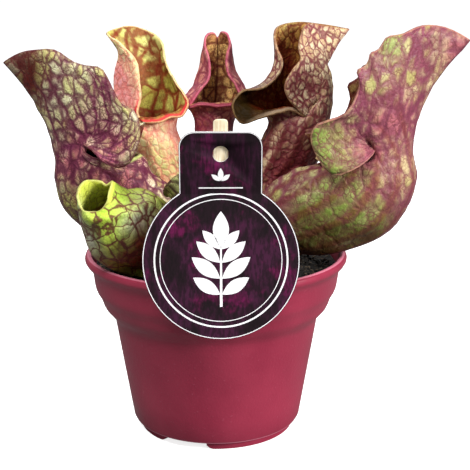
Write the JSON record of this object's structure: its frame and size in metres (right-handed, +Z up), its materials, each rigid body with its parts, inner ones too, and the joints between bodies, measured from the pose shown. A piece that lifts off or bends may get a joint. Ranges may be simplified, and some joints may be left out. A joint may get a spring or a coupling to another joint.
{
  "type": "potted pitcher plant",
  "caption": "Low pot of dark peat with hooded, wide-mouthed pitcher leaves standing round a crown, and a bent plant label on a flat stick at the front.",
  "frame": {"origin": "centre of the pot's base, on the surface it stands on", "axes": "+Z up along the pot's axis, -Y toward the front, where the label is, +X to the right seen from the front"},
  "size_m": [0.205, 0.1272, 0.1857],
  "materials": {
    "pot_plastic": "satin",
    "peat": "matt, fibrous",
    "rhizome": "matt",
    "leaf_green": "waxy, net veined",
    "leaf_red": "waxy, net veined",
    "label_sheet": "printed",
    "stick_wood": "raw"
  },
  "bodies": {
    "root": {"pot": "pot_plastic", "soil": "peat", "crown": "rhizome", "pitcher_left": "leaf_green", "pitcher_back_left": "leaf_green", "pitcher_back": "leaf_red", "pitcher_back_right": "leaf_red", "pitcher_right": "leaf_red", "pitcher_front_left": "leaf_green", "pitcher_centre": "leaf_green", "label": "label_sheet", "stick": "stick_wood"}
  },
  "joints": []
}
